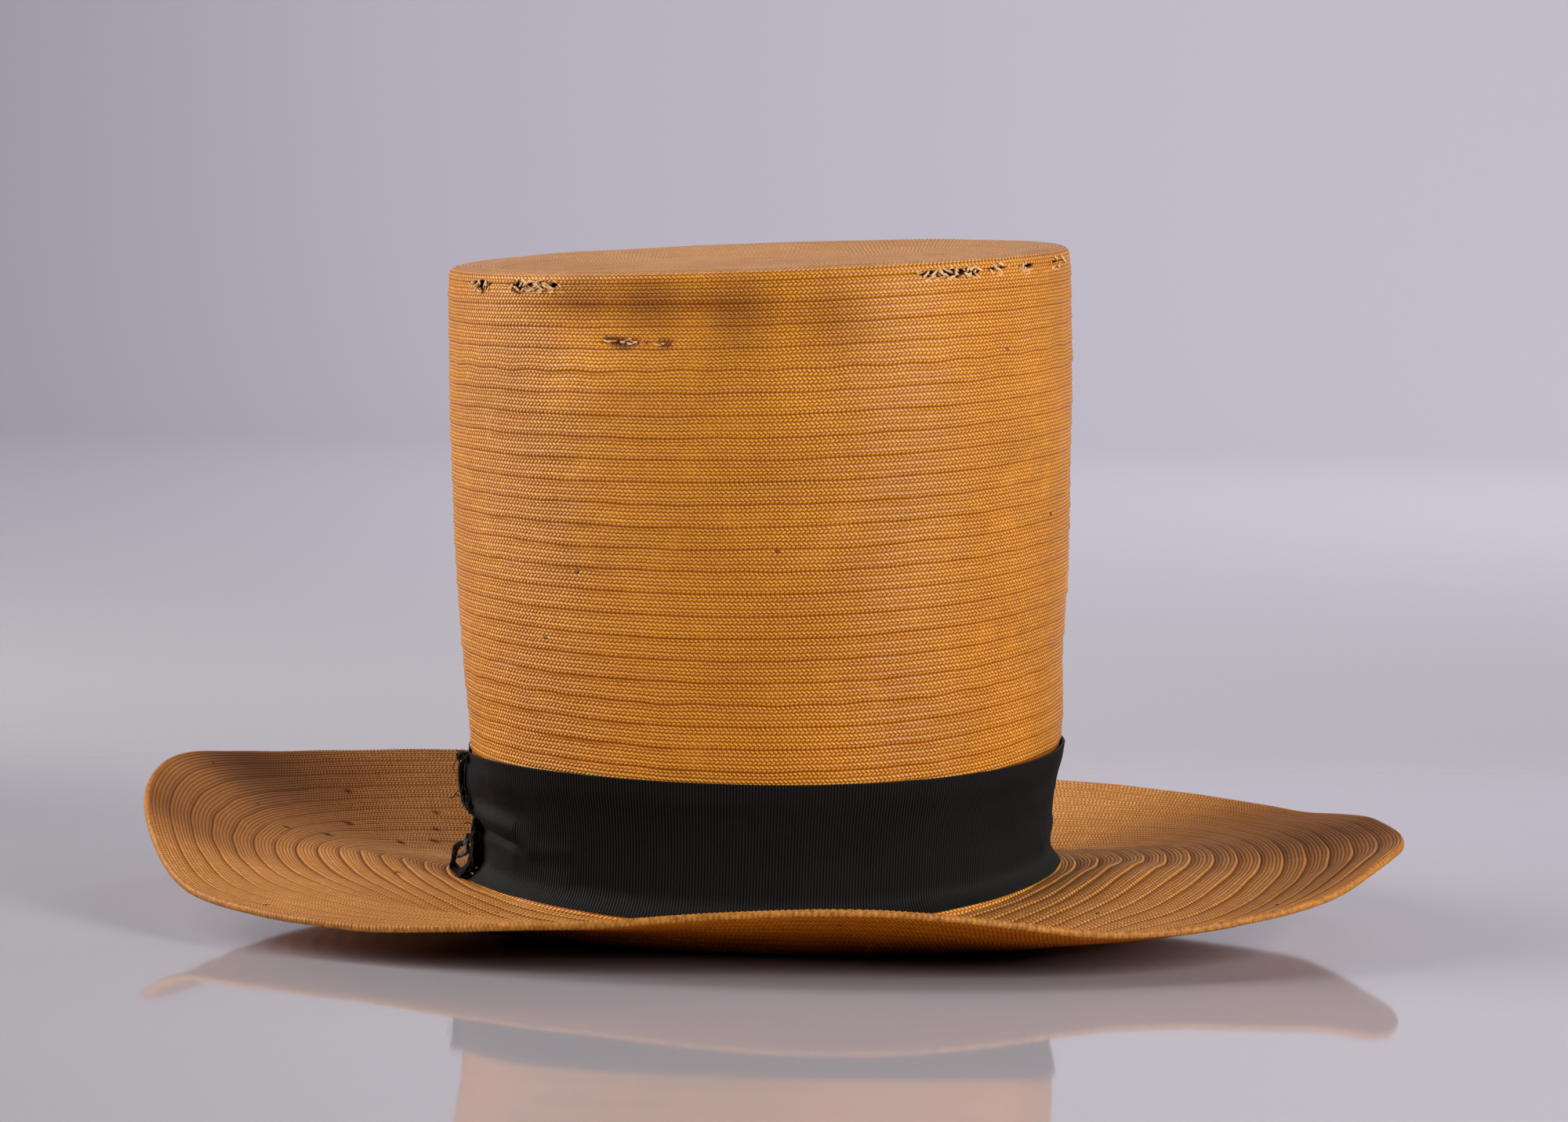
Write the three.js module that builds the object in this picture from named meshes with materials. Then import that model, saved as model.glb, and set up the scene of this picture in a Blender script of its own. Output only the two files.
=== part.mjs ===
// Straw top hat in millimetres, resting on its brim. +X runs along the head, +Y across it and +Z up. The origin is on
// the table, under the middle of the brim.
import * as THREE from 'three';

// Thicknesses and gaps
const SEGMENTS = 40;
const STRAW = 1.8;
const RIBBON = 0.8;
const GAP = 0.3;

// Braid: one course is the width of braid that shows, and its free edge stands proud by the step
const COURSE_STEP = 0.6;
const CROWN_COURSES = 29;
const FIRST_COURSE_ABOVE_RIBBON = 6;
const BRIM_COURSES = 15;
const TIP_COURSES = 7;
const TIP_COURSE_WIDTH = 7.2;

// Plan of the crown's foot and of the rim, whose corners are a little fuller than an ellipse's
const CROWN_CENTRE = { x: -2.1, y: 10.4 };
const CROWN_WALL = { halfLength: 95, halfWidth: 76 };
const HEAD_OPENING = { halfLength: 97.6, halfWidth: 78.6 };
const RIM = { halfLength: 206.2, halfWidth: 186.4, fullness: 2.28 };
const RIM_BINDING = { width: 1.6, height: 2.4 };

// Lines round the hat: the mean height above the table, and how far the line rises at the right, at the far side, at
// both ends of the head and across one diagonal
const FOOT_LINE = { mean: 9.2, right: 3.7, far: 4.0, ends: 3.3, twist: 0.7 };
const RIBBON_LOW_LINE = { mean: 11.6, right: 4.0, far: 4.0, ends: 3.4, twist: 0.6 };
const RIBBON_TOP_LINE = { mean: 53.9, right: 3.9, far: 3.3, ends: 1.3, twist: 1.1 };
const TIP_LINE = { mean: 216.5, right: 6.2, far: 2.4, ends: 0, twist: 0 };

// Outline of the crown at shares of its height, from the foot to the tip, with the lean of its middle
const CROWN_SECTIONS = [
  { share: 0.0, leanX: 0.5, leanY: 0.0, halfLength: 94.2, halfWidth: 75.4 },
  { share: 0.09, leanX: 0.8, leanY: -0.3, halfLength: 94.4, halfWidth: 75.5 },
  { share: 0.23, leanX: 0.9, leanY: -0.7, halfLength: 97.8, halfWidth: 78.2 },
  { share: 0.36, leanX: -0.8, leanY: -1.1, halfLength: 99.1, halfWidth: 79.3 },
  { share: 0.5, leanX: -1.8, leanY: -1.5, halfLength: 101.0, halfWidth: 80.8 },
  { share: 0.65, leanX: -3.0, leanY: -2.0, halfLength: 101.9, halfWidth: 81.5 },
  { share: 0.8, leanX: -4.0, leanY: -2.4, halfLength: 102.5, halfWidth: 82.0 },
  { share: 0.95, leanX: -5.2, leanY: -2.9, halfLength: 102.4, halfWidth: 81.9 },
  { share: 1.0, leanX: -5.6, leanY: -3.0, halfLength: 101.8, halfWidth: 81.4 },
];

// The wall turns outwards above the brim
const FOOT_FLARE = { reach: 8, height: 9.5 };
const FOOT_SHARE = 0.055;

// Heights of the middle of the brim's straw, at three shares of the way from the crown to the rim
const BRIM_SHARES = { trough: 0.3, middle: 0.65, rim: 1 };
const BRIM_SECTIONS = [
  { angle: 0, trough: 19.6, middle: 23.7, rim: 31.3 },
  { angle: 22.5, trough: 14.7, middle: 22.0, rim: 26.8 },
  { angle: 45, trough: 7.9, middle: 18.5, rim: 28.2 },
  { angle: 67.5, trough: 0.8, middle: 15.6, rim: 29.4 },
  { angle: 90, trough: 0.2, middle: 15.0, rim: 32.7 },
  { angle: 112.5, trough: 0.8, middle: 16.5, rim: 35.6 },
  { angle: 135, trough: 6.5, middle: 18.8, rim: 37.8 },
  { angle: 157.5, trough: 12.1, middle: 20.1, rim: 41.9 },
  { angle: 180, trough: 14.9, middle: 17.8, rim: 32.4 },
  { angle: 202.5, trough: 10.3, middle: 13.8, rim: 13.8 },
  { angle: 225, trough: 2.6, middle: 11.2, rim: 11.4 },
  { angle: 247.5, trough: 1.0, middle: 10.9, rim: 16.3 },
  { angle: 270, trough: 0.2, middle: 10.5, rim: 22.6 },
  { angle: 292.5, trough: 1.1, middle: 7.3, rim: 15.1 },
  { angle: 315, trough: 10.7, middle: 10.0, rim: 20.6 },
  { angle: 337.5, trough: 20.1, middle: 18.1, rim: 30.9 },
];
const BRIM_UNDERSIDE_SHARES = [0.1, 0.2, 0.265, 0.33, 0.45, 0.65, 0.85];

// Tip: a rounded edge over a shallow dish
const TIP_EDGE_HEIGHT = 3.4;
const TIP_EDGE_ROUND = [
  { inset: 0, drop: 1.9 },
  { inset: 0.9, drop: 0.6 },
  { inset: 2.6, drop: 0 },
];
const DISH = { depth: 3.2, starts: 5, ends: 34 };
const DISH_UNDERSIDE_INSETS = [3.2, 16, 34, 58];

// Dents pushed into the crown's wall
const DENTS = [
  { angle: 248, height: 189, halfAngle: 22, halfHeight: 15, depth: 2.6 },
  { angle: 205, height: 150, halfAngle: 14, halfHeight: 22, depth: 0.8 },
];

// Tears along the seam between the wall and the tip, and the lining that shows in them
const TEARS = [
  { from: 197, to: 226, depth: 2.2 },
  { from: 293, to: 316, depth: 2.0 },
];
const LINING = { thickness: 1, height: 11, overlap: 5 };

// Ribbon: its raw edge slants over one step round the hat and has lifted off, and the turn stops short of it
const RIBBON_START_STEP = 21;
const RIBBON_STEPS = 38;
const RIBBON_LEVELS = [
  { share: 0, stand: 0.3, lift: 0 },
  { share: 0.12, stand: 0.3, lift: 0 },
  { share: 0.45, stand: 0.3, lift: 0.4 },
  { share: 0.6, stand: 0.3, lift: 3.6 },
  { share: 0.72, stand: 0.35, lift: 3.8 },
  { share: 0.88, stand: 0.9, lift: 1.8 },
  { share: 1, stand: 0.9, lift: 0.6 },
];

// Torn end of the ribbon: a frayed cord of threads down the raw edge, then a loop on the brim
const FRAYED_RADIUS = 0.75;
const FRAYED_CORNERS = 6;
const FRAYED_END = [
  { angle: 179.0, stand: 2.0, height: 51.5 },
  { angle: 179.8, stand: 3.6, height: 46.5 },
  { angle: 181.0, stand: 4.9, height: 41 },
  { angle: 182.0, stand: 4.6, height: 36 },
  { angle: 183.4, stand: 1.9, height: 30 },
  { angle: 184.8, stand: 1.4, height: 24 },
  { angle: 185.4, stand: 2.2, height: 20 },
  { angle: 184.6, stand: 4.6, height: 18.2 },
  { angle: 182.4, stand: 7.8, height: 17.2 },
  { angle: 181.4, stand: 8.6, height: 15.4 },
  { angle: 183.2, stand: 6.2, height: 14.4 },
  { angle: 185.8, stand: 2.6, height: 14.6 },
];

const STRAW_COLOUR = '#c98a3c';
const TIP_COLOUR = '#c89a66';
const RIBBON_COLOUR = '#242122';
const LINING_COLOUR = '#3a3a40';

const hat = new THREE.Group();

function radians(degrees) {
  return degrees * Math.PI / 180;
}

function mix(a, b, share) {
  return a + (b - a) * share;
}

// A smooth curve through the rows of a table, which bulges past none of them
function curveThrough(rows, key, column, at) {
  const last = rows.length - 1;
  let k = 0;
  while (k < last - 1 && at > rows[k + 1][key]) {
    k += 1;
  }
  const span = (i) => rows[i + 1][key] - rows[i][key];
  const slope = (i) => (rows[i + 1][column] - rows[i][column]) / span(i);
  const bend = (i) => {
    if (i === 0 || i === last) {
      return slope(Math.min(i, last - 1));
    }
    const before = slope(i - 1);
    const after = slope(i);
    return before * after > 0 ? 2 * before * after / (before + after) : 0;
  };
  const width = span(k);
  const u = (at - rows[k][key]) / width;
  const v = 1 - u;
  return rows[k][column] * (1 + 2 * u) * v * v + bend(k) * width * u * v * v
    + rows[k + 1][column] * (3 - 2 * u) * u * u - bend(k + 1) * width * v * u * u;
}

// The same curve through a table of angles that closes on itself
function curveRound(rows, column, angle) {
  const turn = ((angle % 360) + 360) % 360;
  const before = rows.slice(-2).map((row) => ({ ...row, angle: row.angle - 360 }));
  const after = rows.slice(0, 2).map((row) => ({ ...row, angle: row.angle + 360 }));
  return curveThrough([...before, ...rows, ...after], 'angle', column, turn);
}

function lineHeight(line, angle) {
  const t = radians(angle);
  return line.mean + line.right * Math.cos(t) + line.far * Math.sin(t)
    + line.ends * Math.cos(2 * t) + line.twist * Math.sin(2 * t);
}

function dentDepth(angle, height) {
  return DENTS.reduce((sum, dent) => {
    const across = (angle - dent.angle) / dent.halfAngle;
    const up = (height - dent.height) / dent.halfHeight;
    return sum + dent.depth * Math.exp(-across * across - up * up);
  }, 0);
}

// How far the wall turns out at a height above its foot
function flare(rise) {
  const share = Math.max(0, 1 - rise / FOOT_FLARE.height);
  return FOOT_FLARE.reach * share * share;
}

// A point at a height, stood off the crown's plain outer face
function crownPoint(angle, height, stand) {
  const t = radians(angle);
  const foot = lineHeight(FOOT_LINE, angle);
  const share = (height - foot) / (lineHeight(TIP_LINE, angle) - foot);
  const row = (column) => curveThrough(CROWN_SECTIONS, 'share', column, share);
  const a = row('halfLength');
  const b = row('halfWidth');
  const normal = new THREE.Vector2(b * Math.cos(t), a * Math.sin(t)).normalize();
  const out = stand + flare(height - foot) - dentDepth(angle, height);
  return new THREE.Vector3(
    CROWN_CENTRE.x + row('leanX') + a * Math.cos(t) + normal.x * out,
    CROWN_CENTRE.y + row('leanY') + b * Math.sin(t) + normal.y * out,
    height,
  );
}

// A plan point of the brim, from the crown's wall at share 0 to the rim at share 1
function brimPlan(angle, share) {
  const t = radians(angle);
  const power = 2 / RIM.fullness;
  const full = (value) => Math.sign(value) * Math.abs(value) ** power;
  const wallX = CROWN_CENTRE.x + CROWN_WALL.halfLength * Math.cos(t);
  const wallY = CROWN_CENTRE.y + CROWN_WALL.halfWidth * Math.sin(t);
  return new THREE.Vector2(
    mix(wallX, RIM.halfLength * full(Math.cos(t)), share),
    mix(wallY, RIM.halfWidth * full(Math.sin(t)), share),
  );
}

// Height of the middle of the brim's straw
function brimHeight(angle, share) {
  const rows = [
    { share: 0, height: lineHeight(FOOT_LINE, angle) },
    ...Object.entries(BRIM_SHARES).map(([column, at]) => (
      { share: at, height: curveRound(BRIM_SECTIONS, column, angle) }
    )),
  ];
  return curveThrough(rows, 'share', 'height', share);
}

// A point stood off the middle of the brim's straw, and never under the table
function brimPoint(angle, share, stand) {
  const plan = brimPlan(angle, share);
  const height = Math.max(0, brimHeight(angle, share) + stand);
  return new THREE.Vector3(plan.x, plan.y, height);
}

// A closed skin over sections, each a row of points round the wall's cut. The sections of a whole ring run on round the
// hat, and those of a strip stop at two ends, each closed between the two sides of its cut. The cut of a disc is left
// open where its two faces meet nothing but themselves, at the middle.
function skin(sections, form) {
  const positions = [];
  const index = [];
  const known = new Map();
  const vertex = (point) => {
    const key = point.toArray().map((value) => Math.round(value * 1000)).join();
    if (!known.has(key)) {
      known.set(key, positions.length / 3);
      positions.push(...point.toArray());
    }
    return known.get(key);
  };
  const face = (...points) => {
    const corners = points.map(vertex);
    if (new Set(corners).size === 3) {
      index.push(...corners);
    }
  };
  const quad = (a, b, c, d) => {
    face(a, b, c);
    face(a, c, d);
  };
  const size = sections[0].length;
  const spans = form === 'strip' ? sections.length - 1 : sections.length;
  const rows = form === 'disc' ? size - 1 : size;
  for (let j = 0; j < spans; j += 1) {
    const here = sections[j];
    const next = sections[(j + 1) % sections.length];
    for (let i = 0; i < rows; i += 1) {
      const up = (i + 1) % size;
      quad(here[i], next[i], next[up], here[up]);
    }
  }
  if (form === 'strip') {
    const first = sections[0];
    const last = sections[sections.length - 1];
    for (let i = 0; i < size / 2 - 1; i += 1) {
      quad(first[i], first[i + 1], first[size - 2 - i], first[size - 1 - i]);
      quad(last[i + 1], last[i], last[size - 1 - i], last[size - 2 - i]);
    }
  }
  const geometry = new THREE.BufferGeometry();
  geometry.setAttribute('position', new THREE.Float32BufferAttribute(positions, 3));
  geometry.setIndex(index);
  geometry.computeVertexNormals();
  return geometry;
}

function addPiece(name, geometry, color, roughness) {
  const mesh = new THREE.Mesh(geometry, new THREE.MeshStandardMaterial({ color, roughness, metalness: 0 }));
  mesh.name = name;
  hat.add(mesh);
}

// Sections at even angles round the whole hat
function roundSections(section) {
  return Array.from({ length: SEGMENTS }, (_, j) => section(360 * j / SEGMENTS));
}

function ribbonHeight(angle, share) {
  return mix(lineHeight(RIBBON_LOW_LINE, angle), lineHeight(RIBBON_TOP_LINE, angle), share);
}

// How far a tear opens the seam at an angle
function tearDepth(angle) {
  const tear = TEARS.find((row) => angle > row.from && angle < row.to);
  return tear ? tear.depth : 0;
}

// Side wall of the crown: plain under the ribbon and stepped above it, where each course laps over the one below. It
// stands clear of the brim, also where that rises from it.
function crownSideSection(angle) {
  const seat = Math.max(lineHeight(FOOT_LINE, angle), brimHeight(angle, FOOT_SHARE));
  const foot = seat + STRAW / 2 + GAP;
  const top = lineHeight(TIP_LINE, angle) - TIP_EDGE_HEIGHT;
  const courseLine = (k) => mix(foot, top, k / CROWN_COURSES);
  const underRibbon = RIBBON_LEVELS.filter((level) => level.stand < COURSE_STEP)
    .map((level) => Math.max(ribbonHeight(angle, level.share), foot + level.share));
  const outside = [foot, ...underRibbon, courseLine(FIRST_COURSE_ABOVE_RIBBON)]
    .map((height) => crownPoint(angle, height, 0));
  for (let k = FIRST_COURSE_ABOVE_RIBBON; k < CROWN_COURSES; k += 1) {
    const torn = k + 1 === CROWN_COURSES ? tearDepth(angle) : 0;
    outside.push(crownPoint(angle, courseLine(k), COURSE_STEP));
    outside.push(crownPoint(angle, courseLine(k + 1) - torn, 0));
  }
  const insideShares = [1, 0.9, 0.75, 0.5, 0.22, 0.08, 0.024, 0.01, 0];
  const inside = insideShares.map((share) => {
    const torn = share === 1 ? tearDepth(angle) : 0;
    return crownPoint(angle, mix(foot, top, share) - torn, -STRAW);
  });
  return [...outside, ...inside];
}

// Tip: plan offset inwards from the crown's edge, so that its courses keep their width and close on a short ridge
function tipPoint(angle, inset, drop) {
  const t = radians(angle);
  const edge = CROWN_SECTIONS[CROWN_SECTIONS.length - 1];
  const halfWidth = Math.max(0, edge.halfWidth - inset);
  const halfLength = edge.halfLength - inset;
  const x = halfLength * Math.cos(t);
  const y = halfWidth * Math.sin(t);
  const dished = THREE.MathUtils.smoothstep(inset, DISH.starts, DISH.ends) * DISH.depth;
  const tilt = TIP_LINE.right * x / edge.halfLength + TIP_LINE.far * y / edge.halfWidth;
  const height = TIP_LINE.mean + tilt - drop - dished;
  return new THREE.Vector3(CROWN_CENTRE.x + edge.leanX + x, CROWN_CENTRE.y + edge.leanY + y, height);
}

function tipSection(angle) {
  const middle = CROWN_SECTIONS[CROWN_SECTIONS.length - 1].halfWidth;
  const seam = lineHeight(TIP_LINE, angle) - TIP_EDGE_HEIGHT + GAP;
  const underside = [middle, ...DISH_UNDERSIDE_INSETS.toReversed()]
    .map((inset) => tipPoint(angle, inset, STRAW));
  const lip = [crownPoint(angle, seam, -STRAW), crownPoint(angle, seam, COURSE_STEP / 2)];
  const rounded = TIP_EDGE_ROUND.map((row) => tipPoint(angle, row.inset - COURSE_STEP / 2, row.drop));
  const top = [];
  const start = TIP_EDGE_ROUND[TIP_EDGE_ROUND.length - 1].inset;
  for (let k = 1; k <= TIP_COURSES; k += 1) {
    top.push(tipPoint(angle, start + k * TIP_COURSE_WIDTH, 0));
    top.push(tipPoint(angle, start + k * TIP_COURSE_WIDTH, -COURSE_STEP / 2));
  }
  top.push(tipPoint(angle, middle, 0));
  return [...underside, ...lip, ...rounded, ...top];
}

// Brim: flat pads where it rests, and courses whose outer edges lap over the next
function brimSection(angle) {
  const inner = (HEAD_OPENING.halfLength - CROWN_WALL.halfLength)
    / (RIM.halfLength - CROWN_WALL.halfLength);
  const outer = 1 - (RIM_BINDING.width + GAP) / (RIM.halfLength - CROWN_WALL.halfLength);
  const underside = [inner, ...BRIM_UNDERSIDE_SHARES, outer]
    .map((share) => brimPoint(angle, share, -STRAW / 2));
  const top = [];
  const courseLine = (k) => mix(inner, outer, k / BRIM_COURSES);
  for (let k = BRIM_COURSES; k > 0; k -= 1) {
    const step = k === 1 ? 0 : COURSE_STEP;
    top.push(brimPoint(angle, courseLine(k), STRAW / 2 + step));
    top.push(brimPoint(angle, courseLine(k - 1), STRAW / 2));
  }
  return [...underside, ...top];
}

// Binding of the rim: the last course turned over, as a rounded cord against the brim's edge
function rimBindingSection(angle) {
  const reach = RIM.halfLength - CROWN_WALL.halfLength;
  const half = RIM_BINDING.height / 2;
  const profile = [
    { inset: RIM_BINDING.width, stand: -half * 0.7 },
    { inset: RIM_BINDING.width * 0.4, stand: -half },
    { inset: 0, stand: -half * 0.4 },
    { inset: 0, stand: half * 0.6 },
    { inset: RIM_BINDING.width * 0.4, stand: half * 1.2 },
    { inset: RIM_BINDING.width, stand: half },
  ];
  return profile.map((row) => brimPoint(angle, 1 - row.inset / reach, row.stand));
}

// Ribbon: one turn of grosgrain on the crown's foot, flared over the brim. The raw edge has a slant, which moves its
// top back by that many degrees, and a share of the lift.
function ribbonSection(angle, slant, lifted) {
  const wall = (row, stand) => {
    const at = angle - slant * row.share;
    return crownPoint(at, ribbonHeight(at, row.share), stand + lifted * row.lift);
  };
  const outside = RIBBON_LEVELS.map((row) => wall(row, row.stand + RIBBON));
  const inside = RIBBON_LEVELS.toReversed().map((row) => wall(row, row.stand));
  return [...outside, ...inside];
}

function ribbonGeometry() {
  const step = 360 / SEGMENTS;
  const sections = [ribbonSection(RIBBON_START_STEP * step, step, 1)];
  for (let j = 0; j <= RIBBON_STEPS; j += 1) {
    sections.push(ribbonSection((RIBBON_START_STEP + j) * step, 0, 0));
  }
  return skin(sections, 'strip');
}

// Torn ribbon end: a bundle of threads swept down the raw edge and round its loop
function frayedEndGeometry() {
  const points = FRAYED_END.map((row) => crownPoint(row.angle, row.height, row.stand));
  const corners = Array.from({ length: FRAYED_CORNERS }, (_, i) => {
    const t = 2 * Math.PI * i / FRAYED_CORNERS;
    return new THREE.Vector2(FRAYED_RADIUS * Math.cos(t), FRAYED_RADIUS * Math.sin(t));
  });
  return new THREE.ExtrudeGeometry(new THREE.Shape(corners), {
    steps: 2 * FRAYED_END.length,
    bevelEnabled: false,
    extrudePath: new THREE.CatmullRomCurve3(points),
  });
}

// Lining behind a tear: a short strip against the inside of the wall
function liningGeometry(tear) {
  const steps = 4;
  const sections = Array.from({ length: steps + 1 }, (_, j) => {
    const angle = mix(tear.from - LINING.overlap, tear.to + LINING.overlap, j / steps);
    const top = lineHeight(TIP_LINE, angle) - TIP_EDGE_HEIGHT - GAP;
    const low = top - LINING.height;
    const outer = -STRAW - GAP * 2;
    const inner = outer - LINING.thickness;
    return [
      crownPoint(angle, low, outer),
      crownPoint(angle, top, outer),
      crownPoint(angle, top, inner),
      crownPoint(angle, low, inner),
    ];
  });
  return skin(sections, 'strip');
}

addPiece('crown_side', skin(roundSections(crownSideSection), 'ring'), STRAW_COLOUR, 0.55);
addPiece('crown_tip', skin(roundSections(tipSection), 'disc'), TIP_COLOUR, 0.6);
addPiece('brim', skin(roundSections(brimSection), 'ring'), STRAW_COLOUR, 0.55);
addPiece('brim_edge', skin(roundSections(rimBindingSection), 'ring'), STRAW_COLOUR, 0.5);
addPiece('hat_band', ribbonGeometry(), RIBBON_COLOUR, 0.8);
addPiece('band_frayed_end', frayedEndGeometry(), RIBBON_COLOUR, 0.9);
addPiece('tip_lining_left', liningGeometry(TEARS[0]), LINING_COLOUR, 0.9);
addPiece('tip_lining_right', liningGeometry(TEARS[1]), LINING_COLOUR, 0.9);

export default hat;
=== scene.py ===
"""Looks of the straw top hat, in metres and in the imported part's frame: sewn straw plait, a grosgrain band with a
torn end, tears along the tip's seam, and a polished pale table."""
import math

import bpy
import numpy as np
from mathutils import Matrix, Vector


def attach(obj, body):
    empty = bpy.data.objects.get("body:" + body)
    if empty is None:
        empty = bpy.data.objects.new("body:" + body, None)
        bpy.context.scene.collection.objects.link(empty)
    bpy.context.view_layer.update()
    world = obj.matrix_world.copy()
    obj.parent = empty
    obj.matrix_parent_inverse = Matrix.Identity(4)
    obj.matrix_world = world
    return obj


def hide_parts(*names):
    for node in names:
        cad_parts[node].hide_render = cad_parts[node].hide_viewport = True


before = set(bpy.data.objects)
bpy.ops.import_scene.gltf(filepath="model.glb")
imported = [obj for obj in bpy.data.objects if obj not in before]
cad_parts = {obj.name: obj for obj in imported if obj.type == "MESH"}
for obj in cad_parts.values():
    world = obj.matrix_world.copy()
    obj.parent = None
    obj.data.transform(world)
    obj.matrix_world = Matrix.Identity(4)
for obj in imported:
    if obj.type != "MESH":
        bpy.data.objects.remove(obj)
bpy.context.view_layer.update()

MM = 0.001

# Sizes of the hat in millimetres, as in the part's source

STRAW = 1.8
RIBBON = 0.8
GAP = 0.3
COURSE = 7.2
CROWN_COURSES = 29
FIRST_COURSE_ABOVE_RIBBON = 6
BRIM_COURSES = 15
TIP_COURSES = 10

CROWN_CENTRE = (-2.1, 10.4)
CROWN_WALL = (95, 76)
HEAD_OPENING = 97.6
RIM = (206.2, 186.4)
RIM_FULLNESS = 2.28
RIM_BINDING = 1.6
# the crown's foot is sewn down on the brim, with no light between them
SEWN_DOWN = 0.9
# how far the tip's seam lies under the crown's edge, and how far in from that edge the tip's rings begin
SEAM_DROP = 3.4
TIP_RINGS_BEGIN = 2.8
# how far in the tip's dish begins, how wide its slope is, and its depth
TIP_DISH = (5, 29, 3.2)

# mean height, then the rise at the right, at the far side, at both ends and across one diagonal
FOOT_LINE = (9.2, 3.7, 4.0, 3.3, 0.7)
RIBBON_LOW_LINE = (11.6, 4.0, 4.0, 3.4, 0.6)
RIBBON_TOP_LINE = (53.9, 3.9, 3.3, 1.3, 1.1)
TIP_LINE = (216.5, 6.2, 2.4, 0, 0)

# share of the crown's height, lean of its middle in X and Y, half length, half width
CROWN_SECTIONS = np.array([
    (0.0, 0.5, 0.0, 94.2, 75.4),
    (0.09, 0.8, -0.3, 94.4, 75.5),
    (0.23, 0.9, -0.7, 97.8, 78.2),
    (0.36, -0.8, -1.1, 99.1, 79.3),
    (0.5, -1.8, -1.5, 101.0, 80.8),
    (0.65, -3.0, -2.0, 101.9, 81.5),
    (0.8, -4.0, -2.4, 102.5, 82.0),
    (0.95, -5.2, -2.9, 102.4, 81.9),
    (1.0, -5.6, -3.0, 101.8, 81.4),
])
FOOT_FLARE = (8, 9.5)
FOOT_SHARE = 0.055

# angle, then the height of the brim's middle at its trough, half way out and at the rim
BRIM_SECTIONS = np.array([
    (0, 19.6, 23.7, 31.3),
    (22.5, 14.7, 22.0, 26.8),
    (45, 7.9, 18.5, 28.2),
    (67.5, 0.8, 15.6, 29.4),
    (90, 0.2, 15.0, 32.7),
    (112.5, 0.8, 16.5, 35.6),
    (135, 6.5, 18.8, 37.8),
    (157.5, 12.1, 20.1, 41.9),
    (180, 14.9, 17.8, 32.4),
    (202.5, 10.3, 13.8, 13.8),
    (225, 2.6, 11.2, 11.4),
    (247.5, 1.0, 10.9, 16.3),
    (270, 0.2, 10.5, 22.6),
    (292.5, 1.1, 7.3, 15.1),
    (315, 10.7, 10.0, 20.6),
    (337.5, 20.1, 18.1, 30.9),
])
BRIM_SHARES = (0, 0.3, 0.65, 1)

# angle, height, half angle, half height, depth
DENTS = (
    (228, 198, 9, 6, 1.6), (241, 198, 10, 6, 2.6), (254, 198.5, 10, 6, 3.0), (267, 198, 9, 6, 1.5),
    (235, 191, 13, 8, 1.6), (256, 191, 13, 9, 2.2), (205, 150, 14, 22, 0.8),
)

# Sizes of the plait

# One plait lies over the next with its free edge. Across it run three ropes, each of two rows of slanting straws.
ROPES = 3
ROWS = 2 * ROPES
STRAW_PITCH = 1.5
# columns of points round the crown and the brim, and to each rib of the ribbon or bead of the rim
CROWN_COLUMNS = 290
BRIM_COLUMNS = 360
RIB_COLUMNS = 4

# share of the plait's width from its free edge, and how far it stands off the wall, in mm
PLAIT_PROFILE = (
    (0.0, 0.0), (0.035, 0.26), (0.165, 0.44), (0.30, 0.34),
    (0.333, 0.22), (0.37, 0.31), (0.50, 0.37), (0.63, 0.27),
    (0.667, 0.16), (0.70, 0.23), (0.835, 0.30), (0.965, 0.14),
)
# on the brim the third rope sinks under the next plait, and the first two edges stand up
BRIM_PROFILE = (
    (0.0, -0.38), (0.015, 0.10), (0.06, 0.38), (0.14, 0.46), (0.26, 0.36),
    (0.335, 0.18), (0.38, 0.24), (0.46, 0.28), (0.56, 0.20), (0.70, 0.06), (0.84, -0.10), (0.95, -0.30),
)
# the undersides are plain: share of the plait's width, and the stand off the brim's middle or the drop in the tip
BRIM_UNDERSIDE = ((1.0, -1.25), (0.55, -1.05), (0.04, -0.7))
TIP_UNDERSIDE = ((0.98, 0.25), (0.5, -0.15), (0.04, 0.0))
# the lip over the tip's seam: share of the plait's width, inset from the crown's edge, and drop
TIP_LIP = (
    (0.15, -0.42, 2.5), (0.23, -0.3, 1.9), (0.31, -0.02, 1.3), (0.333, 0.25, 1.15), (0.37, 0.45, 0.8),
    (0.5, 1.1, 0.4), (0.64, 1.9, 0.22), (0.667, 2.1, 0.3), (0.7, 2.3, 0.12), (0.85, 2.6, 0.02),
)


# Curves and surfaces

def smooth_curve(keys, values):
    """A curve through a table's rows that bulges past none of them. The values may have a second axis."""
    keys, values = np.asarray(keys, float), np.asarray(values, float)
    across = (1,) * (values.ndim - 1)
    widths = np.diff(keys)
    slopes = np.diff(values, axis=0) / widths.reshape(-1, *across)
    before, after = slopes[:-1], slopes[1:]
    rising = before * after > 0
    bends = np.zeros_like(values)
    bends[0], bends[-1] = slopes[0], slopes[-1]
    bends[1:-1] = np.where(rising, 2 * before * after / np.where(rising, before + after, 1), 0)

    def at(key):
        key = np.asarray(key, float)
        k = np.clip(np.searchsorted(keys, key, side="right") - 1, 0, len(keys) - 2)
        width = widths[k].reshape(*key.shape, *across)
        u = (key - keys[k]).reshape(*key.shape, *across) / width
        v = 1 - u
        return (values[k] * (1 + 2 * u) * v * v + bends[k] * width * u * v * v
                + values[k + 1] * (3 - 2 * u) * u * u - bends[k + 1] * width * v * u * u)
    return at


def line_height(line, angle):
    t = np.radians(angle)
    mean, right, far, ends, twist = line
    return mean + right * np.cos(t) + far * np.sin(t) + ends * np.cos(2 * t) + twist * np.sin(2 * t)


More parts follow.
